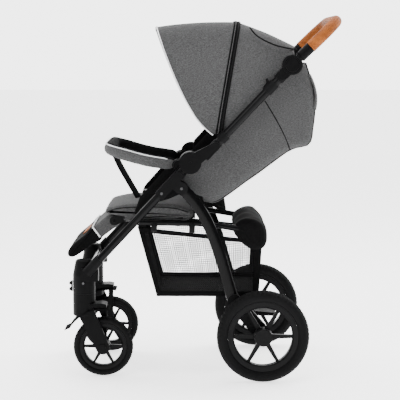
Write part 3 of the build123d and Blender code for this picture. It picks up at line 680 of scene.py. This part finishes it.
# ---- handle ----
HANDLE_TOP = (222.0, 1086.0)
HANDLE_HALF, HANDLE_BEND = 215, 78.0
HANDLE_ANGLE = math.degrees(math.atan2(HANDLE_TOP[1] - HANDLE_PIVOT[1], HANDLE_TOP[0] - HANDLE_PIVOT[0]))


def handle_line(start):
    """The handle's middle line from a distance up one arm, over the top and down to the same on the other."""
    foot = polar(HANDLE_PIVOT, HANDLE_ANGLE, start)
    arm = math.dist(foot, HANDLE_TOP) - HANDLE_BEND
    half = [at(polar(foot, HANDLE_ANGLE, arm * k / 8), -HANDLE_HALF) for k in range(8)]
    for k in range(13):
        a = math.pi / 2 * k / 12
        place = polar(foot, HANDLE_ANGLE, arm + HANDLE_BEND * math.sin(a))
        half.append(at(place, -HANDLE_HALF + HANDLE_BEND * (1 - math.cos(a))))
    half += [at(place, y) for y in range(-120, 0, 20)]
    return half + [at(place, 0.0)] + [(x, -y, z) for x, y, z in reversed(half)]


tube("handle_leather", handle_line(76), 17.6, LEATHER, "handle", sides=28)
for side in SIDES.values():
    arm = [at(polar(HANDLE_PIVOT, HANDLE_ANGLE, a), side * HANDLE_HALF) for a in (33, 40, 70, 77)]
    tube(f"handle_sleeve_{side + 1}", arm, 16.4, PLASTIC, "handle", sides=28)

# ---- bumper bar ----
def corner_path(points, radius):
    """A polyline in space with its corners rounded."""
    out = [points[0]]
    for a, b, c in zip(points, points[1:], points[2:]):
        back_by = min(radius, math.dist(a, b) * 0.48, math.dist(b, c) * 0.48)
        p, q = lerp(b, a, back_by / math.dist(a, b)), lerp(b, c, back_by / math.dist(b, c))
        for k in range(11):
            t = k / 10
            out.append(lerp(lerp(p, b, t), lerp(b, q, t), t))
    out.append(points[-1])
    return out


def resample(points, n):
    return [along_path(points, k / (n - 1)) for k in range(n)]


BUMPER_PIVOT = (-256, 652)
OVAL_Y, OVAL_Z = 14.5, 19.0
arm = [(-262, -172, 652), (-356, -172, 665), (-470, -172, 699)]
bar = resample(corner_path(arm + [(x, -y, z) for x, y, z in reversed(arm)], 92), 120)


def sweep_oval(path, around, grow=0.0, wrinkle=0.0):
    """Rings of an upright oval along a path, rounded off at the ends."""
    verts = []
    n = len(path)
    for i, p in enumerate(path):
        t = (Vector(path[min(i + 1, n - 1)]) - Vector(path[max(i - 1, 0)])).normalized()
        flat = Vector((-t.y, t.x, 0)).normalized()
        up = flat.cross(t) * -1
        near = min(i, n - 1 - i, 4) / 4
        cap = math.sqrt(max(0.03, 1 - (1 - near) ** 2))
        for k in around:
            a = math.radians(k)
            out = flat * math.cos(a) * (OVAL_Y + grow) * cap + up * math.sin(a) * (OVAL_Z + grow) * cap
            verts.append(ruffle(tuple(Vector(p) + out), wrinkle, 30.0))
    return verts


ring = range(0, 360, 12)
verts = sweep_oval(bar, ring, wrinkle=0.8)
cols = len(ring)
faces = grid_faces(len(bar), cols, close_cols=True) + end_caps(len(bar), cols)


def bar_cloth(poly):
    """The outside and underside are grey; the top and inside are black."""
    k = (poly.index % cols) * 12
    return 1 if 48 <= k < 228 else 0


bumper = piece("bumper_pad", verts, faces, [GREY, BLACK], "bumper", ["bumper_bar"], bar_cloth)
for name, angle in (("upper", 48), ("lower", 228)):
    line = sweep_oval(bar[3:-3], [angle], grow=0.8)
    tube(f"bumper_piping_{name}", line, 1.8, WHITE if name == "upper" else BLACK, "bumper")
for side in SIDES.values():
    verts, around = [], 32
    for y, r in ((184, 9), (187, 9), (187.2, 14.6), (199.4, 14.6), (199.5, 9)):
        for k in range(around):
            turn = 2 * math.pi * k / around
            verts.append(at(polar(BUMPER_PIVOT, 0, r * math.cos(turn), r * math.sin(turn)), side * y))
    faces = grid_faces(5, around, close_cols=True)
    faces += [tuple(range(around)), tuple(range(4 * around, 5 * around))]
    piece(f"bumper_adaptor_{side + 1}", verts, faces, PLASTIC, "bumper", flat=True)
strap = smooth_path([(-464, 682), (-446, 640), (-416, 586), (-384, 531)], 8)
rows = [[(x + w * 0.55, w * 0.84, z + w * 0.2) for w in (-13, -4, 4, 13)] for x, z in strap]
sheet(
    "crotch_strap_web", rows, WEB,
    thickness=2.6, replaces=["crotch_strap"],
    blend=("bumper", "lower_frame", m(-455, 0, 668), m(-392, 0, 556)),
)

# ---- basket ----
NET_HALF, BINDING_HALF, ACROSS_HALF = 184, 185.4, 183
TOP_F, LOW_F, LOW_R, TOP_R = (-380.0, 462.0), (-322.0, 248.0), (-11.0, 248.0), (-1.0, 420.0)
BAND, THREAD = 15.0, 1.7
LOOP = [(186, -22), (200, -8), (201, 4), (196, 11), (184, 11), (180.5, 2), (182, -12)]


def patch_rows(corners, across, up):
    """Rows of points over a four-sided patch."""
    a, b, c, d = corners
    return [
        [lerp(lerp(a, b, k / across), lerp(d, c, k / across), i / up) for k in range(across + 1)]
        for i in range(up + 1)
    ]


def net(name, corners, across, up, replaces=()):
    """Netting over a four-sided patch: real threads round square cells."""
    verts = [p for row in patch_rows(corners, across, up) for p in row]
    faces = grid_faces(up + 1, across + 1)
    obj = piece(name, verts, faces, NET, "lower_frame", replaces, flat=True)
    mod = obj.modifiers.new("threads", "WIREFRAME")
    mod.thickness = THREAD / 1000
    mod.use_even_offset = False
    mod.use_replace = True


def side_patch(y, *corners):
    """A patch that stands upright along one side."""
    return [at(p, y) for p in corners]


def cross_patch(low, high, half):
    """A patch that runs from side to side between two side-view points."""
    return [at(low, -half), at(low, half), at(high, half), at(high, -half)]


def cloth_patch(name, corners, across, up, thickness=1.8, wrinkle=0.8):
    """Black cloth over a four-sided patch."""
    rows = [[ruffle(p, wrinkle, 50.0) for p in row] for row in patch_rows(corners, across, up)]
    sheet(name, rows, BLACK, thickness=thickness, body="lower_frame")


band_f, band_r = lerp(LOW_F, TOP_F, BAND / 214), lerp(LOW_R, TOP_R, BAND / 172)
for side in SIDES.values():
    net(f"basket_net_{side + 1}", side_patch(side * NET_HALF, band_f, band_r, TOP_R, TOP_F), 56, 29,
        ["basket"] if side > 0 else ())
    band = side_patch(side * NET_HALF, LOW_F, LOW_R, band_r, band_f)
    cloth_patch(f"basket_band_{side + 1}", band, 30, 5)
    for name, corners, flat in (
        ("front", (LOW_F, lerp(LOW_F, LOW_R, 0.045), lerp(TOP_F, TOP_R, 0.04), TOP_F), (0.015, 0.225)),
        ("rear", (lerp(LOW_R, LOW_F, 0.06), LOW_R, TOP_R, lerp(TOP_R, TOP_F, 0.05)), (0.021, 0.19)),
        ("top", (lerp(TOP_F, LOW_F, 0.07), lerp(TOP_R, LOW_R, 0.07), TOP_R, TOP_F), (0.384, 0.0155)),
    ):
        cloth_patch(f"basket_{name}_binding_{side + 1}", side_patch(side * BINDING_HALF, *corners),
                    8, 8, thickness=1.4, wrinkle=0.3)
    for k, x in enumerate((-330, -215)):
        z = 470 - (x + 402) * 0.02
        loop = smooth_path([(x, side * y, z + dz) for y, dz in LOOP], 3)
        rows = [[(p[0] + w, p[1], p[2]) for w in (-9, 0, 9)] for p in loop]
        sheet(f"basket_loop_{side + 1}_{k}", rows, WEB,
              thickness=1.4, body="lower_frame")
net("basket_net_front", cross_patch(band_f, TOP_F, 182), 54, 29)
net("basket_net_rear", cross_patch(band_r, TOP_R, 182), 54, 23)
bottom = cross_patch(LOW_F, LOW_R, ACROSS_HALF)
cloth_patch("basket_floor_cloth", bottom, 20, 20)
for name, low, high in (("front", LOW_F, band_f), ("rear", LOW_R, band_r)):
    band = cross_patch(low, high, ACROSS_HALF)
    cloth_patch(f"basket_band_{name}", band, 20, 5)
pouch_profile = [
    (-84, 456), (-72, 476), (-46, 487), (-16, 482), (8, 460), (17, 428), (8, 404), (-10, 392), (-32, 392),
    (-54, 404), (-72, 424), (-83, 440),
]
pad("basket_pouch_cloth", pouch_profile, 203, BLACK, "lower_frame", ["basket_pouch"],
    soft=26, wrinkle=5.0, stations=60)


# ---- tyres ----
GROOVE = 2.4


def tyre(where, radius, width, rim_r, x, y, blocks):
    """A foam tyre with a block tread cut into it. It stands on the floor."""
    depth = 0.56 * (radius - rim_r)
    centre_r = radius - depth
    section = []
    for k in range(37):
        a = math.radians(-141 + 282 * k / 36)
        section.append((centre_r + depth * math.cos(a), width / 2 * math.sin(a), a))
    around = blocks * 6
    verts = []
    for i in range(around):
        turn = 2 * math.pi * i / around
        for r, w, a in section:
            lane = 0 if abs(w) < width * 0.13 else 1
            phase = (i + (3 if lane else 0) + (1 if w > 0 else 0)) % 6
            between_blocks = phase == 0 and abs(a) < math.radians(64)
            between_lanes = abs(abs(w) - width * 0.15) < width * 0.02 and abs(a) < 1
            rr = r - (GROOVE if between_blocks or between_lanes else 0.0)
            verts.append((x + rr * math.cos(turn), y + w, radius + rr * math.sin(turn)))
    end, name = where.split("_")
    faces = grid_faces(around, len(section), close_rows=True, close_cols=True)
    piece(f"tread_{where}", verts, faces, TYRE, f"{end}_wheel_{name}", [f"{end}_tyre_{name}"])


for name, side in SIDES.items():
    tyre(f"rear_{name}", 140, 46, 106, 0, side * 267, 64)
    tyre(f"front_{name}", 92, 36, 72, -488, side * 180, 46)

# ---- floor, lights and camera ----
bpy.ops.mesh.primitive_plane_add(size=60, location=(0, 0, -0.0005))
floor = bpy.context.object
floor.name = "floor"
mat, nodes, links, bsdf = new_material("floor_pale")
bsdf.inputs["Base Color"].default_value = (0.93, 0.93, 0.93, 1)
bsdf.inputs["Roughness"].default_value = 0.9
bsdf.inputs["Emission Color"].default_value = (1, 1, 1, 1)
bsdf.inputs["Emission Strength"].default_value = 1.8
floor.data.materials.append(mat)

world = bpy.data.worlds.new("studio")
bpy.context.scene.world = world
world.use_nodes = True
nodes, links = world.node_tree.nodes, world.node_tree.links
direction = nodes.new("ShaderNodeTexCoord")
split = nodes.new("ShaderNodeSeparateXYZ")
links.new(direction.outputs["Generated"], split.inputs["Vector"])
backdrop = ramp(nodes, [(0.0, 0.035), (0.5, 0.07), (0.62, 1.0)])
shift = nodes.new("ShaderNodeMath")
shift.operation = "MULTIPLY_ADD"
shift.inputs[1].default_value = 0.5
shift.inputs[2].default_value = 0.5
links.new(split.outputs["Y"], shift.inputs[0])
links.new(shift.outputs["Value"], backdrop.inputs["Fac"])
links.new(backdrop.outputs["Color"], nodes["Background"].inputs["Color"])
nodes["Background"].inputs["Strength"].default_value = 4.4


def area_light(name, place, target, size, power):
    light = bpy.data.lights.new(name, "AREA")
    light.shape = "SQUARE"
    light.size = size
    light.energy = power
    obj = bpy.data.objects.new(name, light)
    bpy.context.scene.collection.objects.link(obj)
    obj.location = place
    obj.rotation_euler = (Vector(target) - Vector(place)).to_track_quat("-Z", "Y").to_euler()


area_light("key", (-2.2, -3.2, 3.4), (0, 0, 0.5), 2.2, 110)
area_light("top", (0.2, -0.4, 3.6), (0, 0, 0.4), 2.4, 130)
area_light("rim", (2.8, 1.6, 2.4), (0, 0, 0.6), 1.6, 60)

camera_data = bpy.data.cameras.new("camera")
camera_data.lens = 126.5
camera_data.sensor_width = 36
camera = bpy.data.objects.new("camera", camera_data)
bpy.context.scene.collection.objects.link(camera)
camera.location = (-0.0068, -4.4413, 1.0033)
camera.rotation_euler = (math.radians(83.85), 0, 0)
bpy.context.scene.camera = camera
